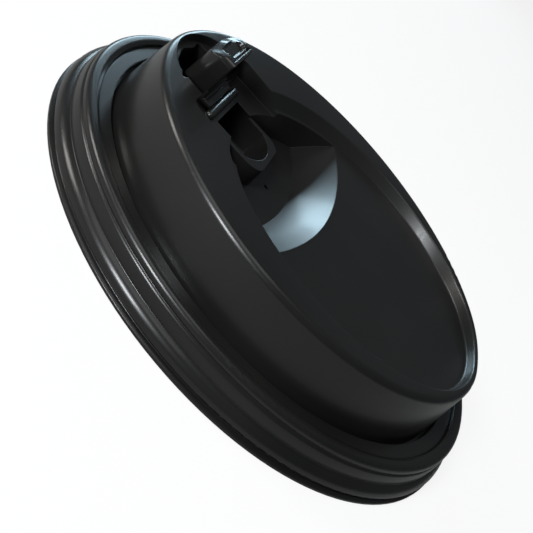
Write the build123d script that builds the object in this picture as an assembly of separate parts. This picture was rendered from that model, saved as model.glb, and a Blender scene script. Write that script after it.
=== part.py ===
from build123d import *
from math import radians, tan
import os

os.makedirs("parts", exist_ok=True)

# Hot drink cup lid, moulded from one thin sheet, with a flap that plugs the sip hole.
# Origin: centre of the flange's underside. +Z up along the lid's axis, sip side at -X.
# The body is an outer form less an inner form. Each feature is a function of an inset:
# 0 gives the outer face and the wall's thickness gives the inner face.

# Sheet.
wall = 0.55
foot_reach = 3.0

# Seat inside the skirt that grips the cup's rolled rim: a true cylinder under the moat.
# Every radius of the skirt and the dome follows it.
seat_radius = 44.7
seat_low_height = 3.2
seat_high_height = 4.35
seat_top_lean = 0.12

# Skirt: reach past the seat and height of each turn of the outer face, from the flange up.
flange_reach = 2.3
flange_height = 0.5
low_groove_reach = 1.4
low_groove_height = 0.95
bulge_reach = 2.02
bulge_low_height = 1.4
bulge_high_height = 2.85
mid_groove_reach = 0.62
mid_groove_height = 3.45
band_reach = 0.7
band_height = 4.5
band_top_reach = 0.4
band_top_height = 5.55
high_groove_reach = 0.08
high_groove_height = 5.8
bead_reach = 0.25
bead_low_height = 6.1
bead_top_height = 7.2
flange_edge_round = 0.15
low_groove_round = 0.12
bulge_low_round = 0.4
bulge_high_round = 1.75
mid_groove_round = 0.15
band_round = 3.5
band_top_round = 0.6
high_groove_round = 0.08
bead_low_round = 0.2
bead_round = 0.95
bead_inner_round = 0.8
flange_radius = seat_radius + flange_reach
low_groove_radius = seat_radius + low_groove_reach
bulge_radius = seat_radius + bulge_reach
mid_groove_radius = seat_radius + mid_groove_reach
band_radius = seat_radius + band_reach
band_top_radius = seat_radius + band_top_reach
high_groove_radius = seat_radius + high_groove_reach
bead_radius = seat_radius + bead_reach

# Shelf and moat between the bead and the dome.
bead_width = 1.65
bead_step = 0.7
bead_foot_height = 6.85
shelf_height = 6.4
shelf_width = 2.65
moat_slope = 0.05
moat_width = 0.45
moat_height = 5.0
step_round = 0.15
bead_inner_radius = bead_radius - bead_width
bead_foot_radius = bead_inner_radius - bead_step
shelf_inner_radius = bead_foot_radius - shelf_width

# Dome.
dome_lean = 1.35
dome_top_height = 16.5
crown_drop = 1.3
rim_round = 1.2
rim_inner_round = 0
dome_foot_radius = shelf_inner_radius - moat_slope - moat_width
dome_top_radius = dome_foot_radius - dome_lean
crown_height = dome_top_height - crown_drop

# Plate: the shallow round recess, set off centre away from the sip side.
plate_x = 7.3
plate_margin = 1.3
plate_depth = 2.3
plate_mouth_depth = 0.5
plate_mouth_shift = 1.1
plate_mouth_growth = 1.4
plate_foot_round = 0.45
plate_mouth_round = 0.6
rim_merge = 0.5
rim_merge_growth = 0.15
plate_height = dome_top_height - plate_depth
plate_radius = dome_top_radius - plate_margin - plate_x
plate_mouth_height = dome_top_height - plate_mouth_depth
plate_mouth_x = plate_x - plate_mouth_shift
plate_mouth_radius = plate_radius + plate_mouth_growth

# Nose recess: the deep pocket between the plate's ledge and a sloped crescent wall.
nose_depth = 5.2
nose_shift = 0.1
ledge_width = 1.0
nose_wall_lean = 0.7
slope_foot_offset = 12.6
slope_foot_radius = 48.0
slope_head_offset = 6.4
slope_head_radius = 66.8
slope_growth = 0.36
nose_height = plate_height - nose_depth
nose_x = plate_x - nose_shift
nose_mouth_radius = plate_radius - ledge_width
nose_floor_radius = nose_mouth_radius - nose_wall_lean
slope_foot_x = nose_x - slope_foot_offset
slope_head_x = nose_x - slope_head_offset

# Fold line and strap. The strap lies over the trough's floor and turns about the fold line.
hinge_margin = 11.65
trough_depth = 3.3
strap_half_thickness = 0.25
strap_reach = 0.28
floor_clearance = 0.3
strap_clearance = 0.1
bar_clearance = 0.12
trough_height = dome_top_height - trough_depth
hinge_x = hinge_margin - dome_top_radius
hinge_height = trough_height + floor_clearance + strap_half_thickness

# Hinge trough across the crescent: reaches from the fold line.
trough_low_reach = 1.55
trough_high_reach = 11.45
trough_half_width = 14.8
trough_corner = 1.2
trough_draft = 8.0
trough_low_x = hinge_x - trough_low_reach
trough_high_x = hinge_x + trough_high_reach

# Flap, standing open at 90 degrees: lengths are taken from the fold line.
flap_half_width = 6.2
flap_length = 7.9
flap_foot_rise = 0.55
flap_sheet_offset = 1.6
flap_sheet_thickness = 0.55
flap_sheet_x = hinge_x - flap_sheet_offset
flap_low_height = hinge_height + flap_foot_rise
flap_top_height = hinge_height + flap_length

# Slot beside the flap, and the stepped pocket round the sip hole.
slot_high_reach = 0.05
slot_side_reach = 5.45
slot_end_reach = 7.15
slot_half_width = 10.5
slot_end_half_width = 6.4
pocket_depth = 1.45
pocket_margin = 1.0
pocket_radius = 15.9
pocket_draft_growth = 0.35
pocket_half_width = 12.6
pocket_corner = 3.2
pocket_high_reach = 5.25
pocket_window_reach = 6.0
pocket_merge = 0.6
slot_high_x = hinge_x - slot_high_reach
slot_side_x = hinge_x - slot_side_reach
slot_end_x = hinge_x - slot_end_reach
pocket_height = dome_top_height - pocket_depth
pocket_x = pocket_margin - dome_top_radius + pocket_radius
pocket_high_x = hinge_x - pocket_high_reach

# Sip hole, with a skirt wall under it that guides the plug: reaches from the fold line.
hole_side_clearance = 0.7
hole_side_reach = 7.15
hole_nose_reach = 8.85
hole_apex_reach = 9.6
hole_nose_half_width = 4.6
swing_clearance = 0.12
guide_depth = 8.85
guide_wall = 0.5
hole_half_width = flap_half_width + hole_side_clearance
hole_side_x = hinge_x - hole_side_reach
hole_nose_x = hinge_x - hole_nose_reach
hole_apex_x = hinge_x - hole_apex_reach
hole_high_x = hinge_x + strap_half_thickness + strap_clearance
guide_foot_height = pocket_height - guide_depth

# Dock: a raised socket on the floor of the nose recess, with a U-shaped well.
dock_rise = 3.7
dock_wall = 0.5
dock_end_wall = 1.2
dock_side_wall = 1.3
dock_corner = 3.2
dock_draft = 3.0
well_depth = 5.1
well_low_reach = 2.75
well_bend_reach = 9.95
well_apex_reach = 12.65
well_side_clearance = 0.1
well_ring_growth = 0.3
dock_height = nose_height + dock_rise
well_height = dock_height - well_depth
well_low_x = hinge_x + well_low_reach
well_bend_x = hinge_x + well_bend_reach
well_apex_x = hinge_x + well_apex_reach
well_half_width = flap_half_width + well_side_clearance
dock_high_x = well_apex_x + dock_end_wall
dock_half_width = well_half_width + dock_side_wall

# Bar and fold ribs on the trough floor.
bar_width = 1.55
bar_side_reach = 2.0
bar_rise = 0.9
bar_round = 0.7
bar_corner = 0.725
rib_pitch = 0.6
rib_radius = 0.25
rib_first_offset = 1.35
rib_count = 3
rib_gap = 0.7
rib_length = 3.7
bar_low_x = hinge_x + strap_reach + bar_clearance
bar_half_width = flap_half_width + bar_side_reach
bar_height = trough_height + bar_rise
rib_first_x = hinge_x - rib_first_offset
rib_start_y = bar_half_width + rib_gap
rib_end_y = rib_start_y + rib_length

# Vent through the recess floor.
vent_reach = 16.55
vent_radius = 0.5
vent_x = hinge_x + vent_reach

# Plug on the flap's sheet: hollow, and a little shallower at its far end.
plug_foot_depth = 5.1
plug_end_depth = 4.6
plug_corner = 2.3
plug_back_corner = 0.5
plug_end_corner = 1.1
plug_wall = 0.55
dish_offset = 2.4
dish_length = 8.4
dish_width = 2.1
dish_depth = 0.6
dish_taper = 20
groove_offset = 0.8
groove_width = 0.45
groove_depth = 0.3
groove_half_length = 5.2
strap_rib_radius = 0.16
strap_rib_count = 2
strap_rib_margin = 0.2

# Working heights above and below everything, for cuts that go right through.
sky_rise = 2.5
ground = 3.0
sky = dome_top_height + sky_rise


def profile_solid(points, radii):
    """Solid of revolution from a closed profile given as radius and height."""
    places = [(r, 0, z) for r, z in points]
    line = FilletPolyline(*places, radius=radii, close=True)
    face = make_face(line.edges())
    return revolve(face, Axis.Z, 360)


def skirt_and_dome_outer():
    points = [
        (0, 0),
        (flange_radius, 0),
        (flange_radius, flange_height),
        (low_groove_radius, low_groove_height),
        (bulge_radius, bulge_low_height),
        (bulge_radius, bulge_high_height),
        (mid_groove_radius, mid_groove_height),
        (band_radius, band_height),
        (band_top_radius, band_top_height),
        (high_groove_radius, high_groove_height),
        (bead_radius, bead_low_height),
        (bead_radius, bead_top_height),
        (bead_inner_radius, bead_top_height),
        (bead_foot_radius, bead_foot_height),
        (bead_foot_radius, shelf_height),
        (shelf_inner_radius, shelf_height),
        (dome_foot_radius + moat_width, moat_height),
        (dome_foot_radius, moat_height),
        (dome_top_radius, dome_top_height),
        (0, crown_height),
    ]
    radii = [0, flange_edge_round, flange_edge_round, low_groove_round]
    radii = radii + [bulge_low_round, bulge_high_round, mid_groove_round]
    radii = radii + [band_round, band_top_round, high_groove_round]
    radii = radii + [bead_low_round, bead_round, bead_inner_round]
    radii = radii + [step_round, step_round, step_round, 0, 0, rim_round, 0]
    return profile_solid(points, radii)


def skirt_and_dome_inner():
    points = [
        (0, -foot_reach),
        (flange_radius - wall, -foot_reach),
        (flange_radius - wall, flange_height - 0.2),
        (low_groove_radius - wall, low_groove_height),
        (bulge_radius - wall, bulge_low_height + 0.15),
        (bulge_radius - wall, bulge_high_height - 0.5),
        (seat_radius, seat_low_height),
        (seat_radius, seat_high_height),
        (seat_radius - seat_top_lean, band_top_height - 0.1),
        (high_groove_radius - wall, high_groove_height),
        (bead_radius - wall - 0.02, bead_low_height),
        (bead_radius - wall - 0.12, bead_top_height - wall),
        (bead_inner_radius, bead_top_height - wall),
        (bead_foot_radius - wall * 0.7, bead_foot_height - wall),
        (bead_foot_radius - wall, shelf_height - wall),
        (shelf_inner_radius + wall, shelf_height - wall),
        (dome_foot_radius + moat_width + wall, moat_height - wall),
        (dome_foot_radius - wall, moat_height - wall),
        (dome_top_radius - wall, dome_top_height - wall),
        (0, crown_height - wall),
    ]
    radii = [0, 0, 0.1, 0.15, 0.25, 0.6, 0, 0, 0, 0, 0.1, 0.3, 0.3, 0.15]
    radii = radii + [0.1, 0.15, 0.1, 0.1, rim_inner_round, 0]
    return profile_solid(points, radii)


def leaning_cone(x_low, r_low, z_low, x_high, r_high, z_high, z_top):
    """Cone between two circles on the X axis, carried on at the same lean to z_top."""
    share = (z_top - z_low) / (z_high - z_low)
    x_top = x_low + (x_high - x_low) * share
    r_top = r_low + (r_high - r_low) * share
    low = Pos(x_low, 0, z_low) * Circle(r_low)
    top = Pos(x_top, 0, z_top) * Circle(r_top)
    return loft([low.face(), top.face()], ruled=True)


def drafted_block(x_low, x_high, half_width, corner, z_low, z_high, draft):
    """Upright block with rounded upright edges whose plan is true at its floor."""
    middle = (x_low + x_high) / 2
    growth = (z_high - z_low) * tan(radians(draft))
    foot = RectangleRounded(x_high - x_low, 2 * half_width, corner)
    head = RectangleRounded(
        x_high - x_low + 2 * growth, 2 * half_width + 2 * growth, corner + growth
    )
    return loft([Pos(middle, 0, z_low) * foot, Pos(middle, 0, z_high) * head], ruled=True)


def plate_cut(inset):
    shift = rim_merge if inset > 0 else 0
    growth = inset + (rim_merge_growth if inset > 0 else 0)
    tool = leaning_cone(
        plate_x + shift,
        plate_radius + growth,
        plate_height - inset,
        plate_mouth_x + shift,
        plate_mouth_radius + growth,
        plate_mouth_height - inset,
        sky,
    )
    if inset > 0:
        return tool
    return fillet(tool.edges().sort_by(Axis.Z)[0], plate_foot_round)


def mouth_edges(form):
    """The long edge round the plate's mouth: high up, and off the lid's axis as the plate is."""
    level = plate_height + plate_depth / 2
    long_edges = form.edges().filter_by(lambda edge: edge.length > 2 * plate_mouth_radius)
    high_edges = long_edges.filter_by(lambda edge: edge.center().Z > level)
    return high_edges.filter_by(lambda edge: edge.bounding_box().center().X > plate_mouth_x / 2)


def nose_cut(inset):
    floor = nose_height - inset
    mouth = plate_height - inset
    round_side = leaning_cone(
        nose_x, nose_floor_radius + inset, floor, nose_x, nose_mouth_radius + inset, mouth, sky
    )
    foot = slope_foot_radius + slope_growth * inset
    head = slope_head_radius + slope_growth * inset
    slope_side = leaning_cone(
        slope_foot_x - slope_foot_radius,
        foot,
        floor,
        slope_head_x - slope_head_radius,
        head,
        mouth,
        sky,
    )
    return round_side & slope_side


def trough_cut(inset):
    return drafted_block(
        trough_low_x - inset,
        trough_high_x,
        trough_half_width + inset,
        trough_corner + inset,
        trough_height - inset,
        sky,
        trough_draft,
    )


def slot_cut(inset):
    y_side = slot_half_width + inset
    y_end = slot_end_half_width + inset
    outline = Polyline(
        (slot_high_x, y_side),
        (slot_side_x - inset / 2, y_side),
        (slot_end_x - inset, y_end),
        (slot_end_x - inset, -y_end),
        (slot_side_x - inset / 2, -y_side),
        (slot_high_x, -y_side),
        close=True,
    )
    floor = trough_height - inset
    return extrude(Pos(0, 0, floor) * make_face(outline.edges()), amount=sky - floor)


def pocket_cut(inset):
    growth = inset + (pocket_merge if inset > 0 else 0)
    ring = leaning_cone(
        pocket_x,
        pocket_radius + growth,
        pocket_height - inset,
        pocket_x,
        pocket_radius + growth + pocket_draft_growth,
        dome_top_height - inset,
        sky,
    )
    window = drafted_block(
        pocket_x - pocket_radius - pocket_window_reach,
        pocket_high_x,
        pocket_half_width + inset,
        pocket_corner,
        pocket_height - inset,
        sky,
        10,
    )
    return ring & window


def hole_plan(inset):
    y = hole_half_width + inset
    nose_y = hole_nose_half_width + inset / 2
    sides = Polyline(
        (hole_side_x, y), (hole_high_x + inset, y), (hole_high_x + inset, -y), (hole_side_x, -y)
    )
    nose = Spline(
        (hole_side_x, -y),
        (hole_nose_x - inset, -nose_y),
        (hole_apex_x - inset, 0),
        (hole_nose_x - inset, nose_y),
        (hole_side_x, y),
        tangents=((-1, 0), (1, 0)),
    )
    return make_face(sides.edges() + nose.edges())


def well_cut(inset):
    growth = inset + (well_ring_growth if inset > 0 else 0)
    y = well_half_width + growth
    outline = Polyline(
        (well_bend_x, y), (well_low_x - inset, y), (well_low_x - inset, -y), (well_bend_x, -y)
    )
    bend = ThreePointArc((well_bend_x, -y), (well_apex_x + growth, 0), (well_bend_x, y))
    plan = make_face(outline.edges() + bend.edges())
    floor = well_height - inset
    return extrude(Pos(0, 0, floor) * plan, amount=sky - floor)


def dock_block():
    block = drafted_block(
        well_low_x - dock_wall,
        dock_high_x,
        dock_half_width,
        dock_corner,
        nose_height - wall / 2,
        dock_height,
        -dock_draft,
    )
    return block


outer = skirt_and_dome_outer()
outer = outer - plate_cut(0)
outer = fillet(mouth_edges(outer), plate_mouth_round)
outer = outer - nose_cut(0)
outer = outer + dock_block()
outer = outer - trough_cut(0) - slot_cut(0) - pocket_cut(0) - well_cut(0)

inner = skirt_and_dome_inner()
inner = inner - plate_cut(wall) - nose_cut(wall)
inner = inner - trough_cut(wall) - slot_cut(wall) - pocket_cut(wall) - well_cut(wall)

shell = outer - inner
print("shell", shell.is_valid, len(shell.solids()), round(shell.volume, 1))

# Bar behind the fold line, with a rounded top and ends.
bar = drafted_block(
    bar_low_x,
    bar_low_x + bar_width,
    bar_half_width,
    bar_corner,
    trough_height - wall / 2,
    bar_height,
    0,
)
bar = fillet(bar.faces().sort_by(Axis.Z)[-1].edges(), bar_round)
shell = shell + bar

# Guide wall under the sip hole, then the hole itself.
guide = extrude(
    Pos(0, 0, guide_foot_height) * hole_plan(guide_wall),
    amount=pocket_height - wall / 2 - guide_foot_height,
)
guide = guide & skirt_and_dome_inner()
guide = guide - slot_cut(wall / 2) - trough_cut(wall / 2)
shell = shell + guide
shell = shell - extrude(Pos(0, 0, ground) * hole_plan(0), amount=sky - ground)

# Short fold ribs on the trough floor at both ends of the flap.
for index in range(rib_count):
    rib_x = rib_first_x + index * rib_pitch
    for side in (-1, 1):
        middle_y = side * (rib_start_y + rib_end_y) / 2
        rib = Pos(rib_x, middle_y, trough_height) * Rot(90, 0, 0) * Cylinder(
            rib_radius, rib_end_y - rib_start_y
        )
        shell = shell + rib

# Vent.
vent = Pos(vent_x, 0, nose_height) * Cylinder(vent_radius, 4 * wall)
shell = shell - vent

body = shell
print("body", body.is_valid, len(body.solids()), round(body.volume, 1))

# Flap: a plug with broad round corners at -X, hollow from the sheet's side.
sheet_back_x = flap_sheet_x - flap_sheet_thickness
flap_height = flap_top_height - flap_low_height
middle_height = (flap_top_height + flap_low_height) / 2


def plug_plan(depth, inset):
    y = flap_half_width - inset
    low = flap_sheet_x - depth + inset
    high = flap_sheet_x
    corners = [(high, -y), (low, -y), (low, y), (high, y)]
    round_low = plug_corner - inset
    round_high = plug_back_corner if inset == 0 else 0
    line = FilletPolyline(
        *corners, radius=[round_high, round_low, round_low, round_high], close=True
    )
    return make_face(line.edges())


def swing_form(inset):
    """All that can turn about the fold line inside the sip hole's plan."""
    reach = hole_apex_reach + 1
    half = Pos(hinge_x - reach / 2, 0) * Rectangle(reach, 2 * hole_half_width + 2)
    plan = hole_plan(-inset) & half
    axis = Axis((hinge_x, 0, hinge_height), (0, 1, 0))
    return revolve(Pos(0, 0, hinge_height) * plan, axis, 360)


def plug_form(inset):
    """The plug's block, rounded as seen along X and cut to the arc that its swing needs."""
    foot = Pos(0, 0, flap_low_height + inset) * plug_plan(plug_foot_depth, inset)
    end = Pos(0, 0, flap_top_height - inset) * plug_plan(plug_end_depth, inset)
    block = loft([foot, end], ruled=True)
    corner = plug_end_corner - inset / 2
    side_view = RectangleRounded(2 * (flap_half_width - inset), flap_height - 2 * inset, corner)
    outline = Plane.YZ * (Pos(0, middle_height) * side_view)
    window = extrude(outline, amount=-40)
    return block & window & swing_form(swing_clearance + inset)


plug = plug_form(0)
hollow = plug_form(plug_wall) + Pos(0.01, 0, 0) * plug_form(plug_wall)
dish_x = flap_sheet_x - dish_offset
dish = Pos(dish_x, 0, flap_top_height - dish_depth) * SlotOverall(dish_length, dish_width, 90)
dish = extrude(dish, amount=2 * dish_depth, taper=-dish_taper)
dish_backing = Box(
    dish_width + 2 * plug_wall,
    dish_length + 2 * plug_wall,
    dish_depth + plug_wall,
    align=(Align.CENTER, Align.CENTER, Align.MAX),
)
dish_backing = Pos(dish_x, 0, flap_top_height - plug_wall / 2) * dish_backing
groove = Pos(flap_sheet_x - groove_offset, 0, flap_top_height) * Box(
    groove_width, 2 * groove_half_length, 2 * groove_depth
)
strap_end_x = hinge_x + strap_reach
strap_length = strap_end_x - sheet_back_x
strap = Box(
    strap_length,
    2 * flap_half_width,
    2 * strap_half_thickness,
    align=(Align.MAX, Align.CENTER, Align.CENTER),
)
strap = Pos(strap_end_x, 0, hinge_height) * strap
strap = fillet(strap.edges().filter_by(Axis.Y).sort_by(Axis.X)[-2:], strap_half_thickness * 0.95)
riser_foot = hinge_height - strap_half_thickness
riser = Box(
    flap_sheet_thickness,
    2 * flap_half_width,
    flap_low_height + 2 * plug_wall - riser_foot,
    align=(Align.MAX, Align.CENTER, Align.MIN),
)
riser = Pos(flap_sheet_x, 0, riser_foot) * riser
flap = plug - (hollow - dish_backing) + riser + strap - dish - groove
for index in range(strap_rib_count):
    rib_x = rib_first_x + index * rib_pitch
    rib = Pos(rib_x, 0, hinge_height + strap_half_thickness) * Rot(90, 0, 0) * Cylinder(
        strap_rib_radius, 2 * (flap_half_width - strap_rib_margin)
    )
    flap = flap + rib
print("flap", flap.is_valid, len(flap.solids()), round(flap.volume, 1))

export_step(body, "parts/lid_body.step")
export_step(flap, "parts/sip_tab.step")
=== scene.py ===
import math

import bmesh
import bpy
import numpy as np
from mathutils import Matrix, Vector


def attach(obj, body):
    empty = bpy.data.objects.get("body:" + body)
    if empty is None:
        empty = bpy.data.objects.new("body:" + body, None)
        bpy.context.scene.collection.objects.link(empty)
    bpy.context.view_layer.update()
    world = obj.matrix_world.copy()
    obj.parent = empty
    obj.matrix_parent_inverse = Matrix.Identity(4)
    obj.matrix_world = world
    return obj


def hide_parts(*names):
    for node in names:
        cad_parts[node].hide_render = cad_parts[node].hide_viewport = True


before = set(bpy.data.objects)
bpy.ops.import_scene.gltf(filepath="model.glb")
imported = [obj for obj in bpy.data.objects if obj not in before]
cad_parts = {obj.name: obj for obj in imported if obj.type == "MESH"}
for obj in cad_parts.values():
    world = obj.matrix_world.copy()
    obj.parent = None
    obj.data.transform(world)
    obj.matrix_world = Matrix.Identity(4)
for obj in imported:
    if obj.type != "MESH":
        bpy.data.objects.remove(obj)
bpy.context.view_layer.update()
print("frame loaded")

# Lengths are in metres and angles in degrees. A lamp's azimuth and elevation are seen from the lid's middle.
white = (1.0, 1.0, 1.0, 1.0)
whiteStrength = 1.0
noiseMiddle = 0.5  # the noise texture varies about this value
mixFactor, mixFirst, mixSecond, mixResult = 0, 6, 7, 2  # the colour sockets of a Mix node


class Maths:
    # A socket that takes part in expressions: every operator adds one Math node.
    tree = None

    def __init__(self, socket):
        self.socket = socket

    @classmethod
    def node(cls, kind, settings=None, sockets=None):
        made = cls.tree.nodes.new(kind)
        for key, value in (settings or {}).items():
            setattr(made, key, value)
        for key, value in (sockets or {}).items():
            cls.feed(made.inputs[key], value)
        return made

    @classmethod
    def feed(cls, target, value):
        if isinstance(value, Maths):
            value = value.socket
        if isinstance(value, bpy.types.NodeSocket):
            cls.tree.links.new(value, target)
        else:
            target.default_value = value

    @classmethod
    def calc(cls, operation, first, second, clamp=False):
        settings = dict(operation=operation, use_clamp=clamp)
        return cls(cls.node("ShaderNodeMath", settings, {0: first, 1: second}).outputs[0])

    def __add__(self, other):
        return self.calc("ADD", self, other)

    def __radd__(self, other):
        return self.calc("ADD", other, self)

    def __sub__(self, other):
        return self.calc("SUBTRACT", self, other)

    def __rsub__(self, other):
        return self.calc("SUBTRACT", other, self)

    def __mul__(self, other):
        return self.calc("MULTIPLY", self, other)

    def __rmul__(self, other):
        return self.calc("MULTIPLY", other, self)

    def within(self, low, high):
        # 0 below low, 1 above high and a straight ramp between them.
        return self.calc("MULTIPLY", self - low, 1.0 / (high - low), clamp=True)


def newMaterial(name):
    material = bpy.data.materials.new(name)
    material.use_nodes = True
    material.node_tree.nodes.clear()
    Maths.tree = material.node_tree
    return material


def noise(place, scale=1.0, detail=2.0):
    sockets = dict(Vector=place, Scale=scale, Detail=detail)
    return Maths(Maths.node("ShaderNodeTexNoise", dict(noise_dimensions="3D"), sockets).outputs[0])


def stretched(place, scales):
    return Maths.node("ShaderNodeVectorMath", dict(operation="MULTIPLY"), {0: place, 1: scales}).outputs[0]


def cameraMix(forOthers, forCamera):
    # One shader for light and reflections, and another one for the camera's own rays.
    path = Maths.node("ShaderNodeLightPath")
    sockets = {0: path.outputs["Is Camera Ray"], 1: forOthers.outputs[0], 2: forCamera.outputs[0]}
    return Maths.node("ShaderNodeMixShader", None, sockets)


def addObject(name, data):
    made = bpy.data.objects.new(name, data)
    bpy.context.scene.collection.objects.link(made)
    return made


# Black moulded plastic: satin, with a soft orange peel, a fine grain and light handling scuffs.
plastic = dict(
    deepColor=(0.0078, 0.0076, 0.0072, 1.0),
    paleColor=(0.0118, 0.0115, 0.0108, 1.0),
    cloudScale=42.0,  # slow changes of colour and gloss
    cloudLow=0.3,
    cloudHigh=0.7,
    roughness=0.31,
    roughnessCloud=0.07,
    roughnessGrain=0.03,
    grainScale=2600.0,
    waveScale=95.0,  # orange peel
    waveHeight=0.000012,
    scuffScale=(260.0, 3400.0, 600.0),  # unequal, so that a scuff is a streak
    scuffLow=0.66,
    scuffHigh=0.8,
    scuffRoughness=0.1,
    edgeRadius=0.0002,  # soft look of the sharp corners
    edgeSamples=6,
    bumpDistance=1.0,
    bumpStrength=1.0,
    specularLevel=0.42,
    coat=0.12,
    coatRoughness=0.12,
)
flapPlastic = dict(plastic, roughness=0.22)


def plasticMaterial(name, values):
    material = newMaterial(name)
    place = Maths.node("ShaderNodeTexCoord").outputs["Object"]
    cloud = noise(place, values["cloudScale"])
    wave = noise(place, values["waveScale"])
    grain = noise(place, values["grainScale"])
    scuff = noise(stretched(place, values["scuffScale"])).within(values["scuffLow"], values["scuffHigh"])

    shade = cloud.within(values["cloudLow"], values["cloudHigh"])
    colors = {mixFactor: shade, mixFirst: values["deepColor"], mixSecond: values["paleColor"]}
    color = Maths.node("ShaderNodeMix", dict(data_type="RGBA"), colors).outputs[mixResult]
    roughness = values["roughness"] + (cloud - noiseMiddle) * values["roughnessCloud"]
    roughness = roughness + (grain - noiseMiddle) * values["roughnessGrain"]
    roughness = roughness + scuff * values["scuffRoughness"]

    rounding = dict(Radius=values["edgeRadius"])
    edge = Maths.node("ShaderNodeBevel", dict(samples=values["edgeSamples"]), rounding)
    bump = Maths.node("ShaderNodeBump", None, dict(
        Height=wave * values["waveHeight"],
        Distance=values["bumpDistance"],
        Strength=values["bumpStrength"],
        Normal=edge.outputs[0],
    ))
    shader = Maths.node("ShaderNodeBsdfPrincipled", None, {
        "Base Color": color,
        "Roughness": roughness,
        "Normal": bump.outputs[0],
        "Specular IOR Level": values["specularLevel"],
        "Coat Weight": values["coat"],
        "Coat Roughness": values["coatRoughness"],
    })
    Maths.node("ShaderNodeOutputMaterial", None, dict(Surface=shader.outputs[0]))
    return material


# How a node's mesh is merged and shaded.
smoothing = dict(
    mergeDistance=0.000001,
    sharpAngle=32.0,  # an edge that bends more stays sharp
    faceWeight=50,
    ringStep=0.00001,  # corners this close in radius and height are on one ring
    slopeGap=8.0,  # a wider gap between slopes parts two surfaces
    fewestCorners=300,  # a surface with fewer corners on its ring isn't turned
    mostSideways=0.75,  # a normal that leans further round the axis stays as it is
    widestPull=28.0,  # a stray corner this far from every slope stays as it is
)


def mergedMesh(name, source, values):
    # The node's triangles are loose, so its copy is merged. Only real corners stay sharp.
    shape = bmesh.new()
    shape.from_mesh(source)
    bmesh.ops.remove_doubles(shape, verts=shape.verts, dist=values["mergeDistance"])
    bmesh.ops.dissolve_degenerate(shape, edges=shape.edges, dist=values["mergeDistance"])
    for face in shape.faces:
        face.smooth = True
    for edge in shape.edges:
        edge.smooth = edge.calc_face_angle(math.pi) < math.radians(values["sharpAngle"])
    mesh = bpy.data.meshes.new(name)
    shape.to_mesh(mesh)
    shape.free()
    return mesh


def weightedMesh(piece, values):
    # Large faces decide the normals at their corners, so that flat faces shade flat.
    weighted = piece.modifiers.new("weighted", "WEIGHTED_NORMAL")
    weighted.keep_sharp = True
    weighted.weight = values["faceWeight"]
    depsgraph = bpy.context.evaluated_depsgraph_get()
    mesh = bpy.data.meshes.new_from_object(piece.evaluated_get(depsgraph))
    piece.modifiers.clear()
    return mesh


def readCorners(mesh):
    # The normal and the place of every face corner.
    normals = np.empty(len(mesh.loops) * 3)
    mesh.corner_normals.foreach_get("vector", normals)
    vertex = np.empty(len(mesh.loops), dtype=int)
    mesh.loops.foreach_get("vertex_index", vertex)
    spots = np.empty(len(mesh.vertices) * 3)
    mesh.vertices.foreach_get("co", spots)
    return normals.reshape(-1, 3), spots.reshape(-1, 3)[vertex]


def groupSlopes(ring, slope, values):
    # Corners of one ring with slopes close together are one surface, and share their mean slope.
    order = np.lexsort((slope, ring))
    starts = (np.diff(ring[order]) != 0) | (np.diff(slope[order]) > values["slopeGap"])
    group = np.concatenate([[0], np.cumsum(starts)])
    size = np.bincount(group)
    mean = np.bincount(group, weights=slope[order]) / size
    turned = np.zeros(len(order), dtype=bool)
    turned[order] = size[group] >= values["fewestCorners"]
    level = np.empty(len(order))
    level[order] = mean[group]
    return turned, level


def takeStrays(ring, slope, turned, level, values):
    # A needle triangle's stray corner takes the nearest slope of its ring.
    for ringNumber in np.unique(ring[turned]):
        here = ring == ringNumber
        known = np.unique(level[turned & here])
        for corner in np.flatnonzero(here & ~turned):
            nearest = known[np.argmin(np.abs(known - slope[corner]))]
            if abs(nearest - slope[corner]) < values["widestPull"]:
                level[corner] = nearest
                turned[corner] = True


def evenRings(mesh, values):
    # The skirt and the dome are turned about the lid's axis, so each ring shades with one slope all round.
    normals, spots = readCorners(mesh)
    radius = np.maximum(np.hypot(spots[:, 0], spots[:, 1]), values["mergeDistance"])  # never zero
    outward = spots[:, :2] / radius[:, None]
    slope = np.degrees(np.arctan2(normals[:, 2], (normals[:, :2] * outward).sum(axis=1)))
    sideways = np.abs(outward[:, 0] * normals[:, 1] - outward[:, 1] * normals[:, 0])
    places = np.round(np.stack([radius, spots[:, 2]]) / values["ringStep"]).astype(int)
    ring = np.unique(places, axis=1, return_inverse=True)[1].reshape(-1)
    turned, level = groupSlopes(ring, slope, values)
    takeStrays(ring, slope, turned, level, values)
    turned &= sideways < values["mostSideways"]
    level = np.radians(level)
    normals[turned, :2] = outward[turned] * np.cos(level[turned])[:, None]
    normals[turned, 2] = np.sin(level[turned])
    mesh.normals_split_custom_set(normals.tolist())
    print("even rings:", int(turned.sum()), "of", len(turned), "corners")


def smoothCopy(name, nodeName, bodyName, material, values):
    piece = addObject(name, mergedMesh(name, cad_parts[nodeName].data, values))
    piece.data = weightedMesh(piece, values)
    evenRings(piece.data, values)
    piece.data.materials.clear()
    piece.data.materials.append(material)
    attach(piece, bodyName)
    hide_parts(nodeName)


def finishPlastic():
    lidLook = plasticMaterial("lid plastic", plastic)
    flapLook = plasticMaterial("flap plastic", flapPlastic)
    smoothCopy("lid_sheet", "lid_body", "lid", lidLook, smoothing)
    smoothCopy("flap_sheet", "sip_tab", "flap", flapLook, smoothing)


floor = dict(
    color=white,
    reflectedColor=(0.42, 0.415, 0.4, 1.0),  # what the plastic sees of the ground
    glow=0.85,  # share of plain white for the camera; the rest keeps the shadow
    side=6.0,
)


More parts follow.
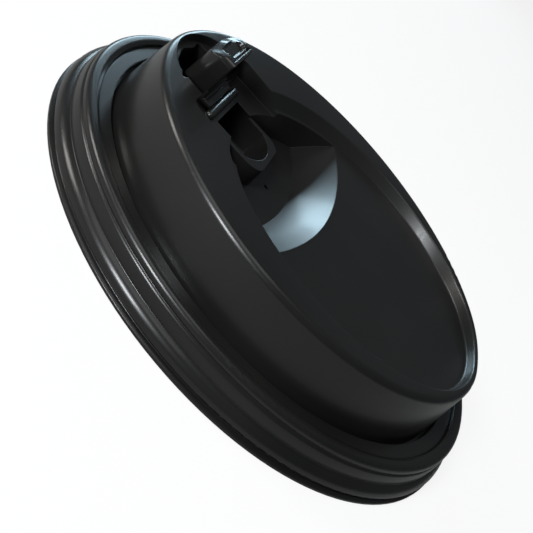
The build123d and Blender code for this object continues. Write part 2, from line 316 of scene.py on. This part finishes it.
def makeFloor(values):
    material = newMaterial("pale ground")
    lit = Maths.node("ShaderNodeBsdfDiffuse", None, dict(Color=values["color"]))
    glow = Maths.node("ShaderNodeEmission", None, dict(Color=white, Strength=whiteStrength))
    shares = {0: values["glow"], 1: lit.outputs[0], 2: glow.outputs[0]}
    shown = Maths.node("ShaderNodeMixShader", None, shares)
    reflected = Maths.node("ShaderNodeBsdfDiffuse", None, dict(Color=values["reflectedColor"]))
    surface = cameraMix(reflected, shown)
    Maths.node("ShaderNodeOutputMaterial", None, dict(Surface=surface.outputs[0]))
    half = values["side"] / 2
    corners = [(-half, -half, 0), (half, -half, 0), (half, half, 0), (-half, half, 0)]
    mesh = bpy.data.meshes.new("ground")
    mesh.from_pydata(corners, [], [(0, 1, 2, 3)])
    mesh.materials.append(material)
    addObject("ground", mesh)


surroundings = dict(
    color=(0.86, 0.92, 1.0, 1.0),
    strength=0.07,
)


def makeSurroundings(values):
    world = bpy.context.scene.world or bpy.data.worlds.new("world")
    bpy.context.scene.world = world
    world.use_nodes = True
    world.node_tree.nodes.clear()
    Maths.tree = world.node_tree
    lit = Maths.node("ShaderNodeBackground", None, dict(Color=values["color"], Strength=values["strength"]))
    shown = Maths.node("ShaderNodeBackground", None, dict(Color=white, Strength=whiteStrength))
    surface = cameraMix(lit, shown)
    Maths.node("ShaderNodeOutputWorld", None, dict(Surface=surface.outputs[0]))


lamps = dict(
    key=dict(  # the highlights on the near side of the skirt and the rim
        azimuth=-126.0, elevation=32.0, distance=0.62,
        width=0.15, height=0.2, radiance=38.0, color=(0.93, 0.97, 1.0),
    ),
    over=dict(  # soft light from above
        azimuth=170.0, elevation=76.0, distance=0.6,
        width=0.4, height=0.4, radiance=1.6, color=(0.97, 0.98, 1.0),
    ),
    back=dict(  # the cool sheen of the crescent slope
        azimuth=111.0, elevation=13.0, distance=0.6,
        width=0.24, height=0.1, radiance=10.0, color=(0.62, 0.86, 1.0),
    ),
    side=dict(  # the flap's end of the wall and the skirt
        azimuth=178.0, elevation=26.0, distance=0.6,
        width=0.16, height=0.22, radiance=10.0, color=(1.0, 0.97, 0.93),
    ),
)


def makeLamp(name, values):
    azimuth = math.radians(values["azimuth"])
    elevation = math.radians(values["elevation"])
    level = math.cos(elevation)
    outward = Vector((level * math.cos(azimuth), level * math.sin(azimuth), math.sin(elevation)))
    data = bpy.data.lights.new(name, "AREA")
    data.shape = "RECTANGLE"
    data.size = values["width"]
    data.size_y = values["height"]
    data.energy = values["radiance"] * math.pi * values["width"] * values["height"]
    data.color = values["color"]
    lamp = addObject(name, data)
    lamp.location = outward * values["distance"]
    lamp.rotation_euler = (-outward).to_track_quat("-Z", "Y").to_euler()


shot = dict(
    lens=63.36,
    sensor=36.0,
    nearest=0.005,
    place=(-0.025643, -0.147396, 0.071867),
    azimuth=10.2,
    elevation=26.05,
    roll=-51.27,
)


def makeCamera(values):
    data = bpy.data.cameras.new("camera")
    data.lens = values["lens"]
    data.sensor_width = values["sensor"]
    data.clip_start = values["nearest"]
    camera = addObject("camera", data)
    turn = Matrix.Rotation(math.radians(-values["azimuth"]), 4, "Z")
    tip = Matrix.Rotation(math.radians(90 - values["elevation"]), 4, "X")
    roll = Matrix.Rotation(math.radians(-values["roll"]), 4, "Z")
    camera.matrix_world = Matrix.Translation(values["place"]) @ turn @ tip @ roll
    bpy.context.scene.camera = camera


finishPlastic()
print("plastic made")
makeFloor(floor)
makeSurroundings(surroundings)
for lampName, lampValues in lamps.items():
    makeLamp(lampName, lampValues)
print("stage and lamps made")
makeCamera(shot)
bpy.context.scene.view_settings.view_transform = "Standard"
print("camera set")
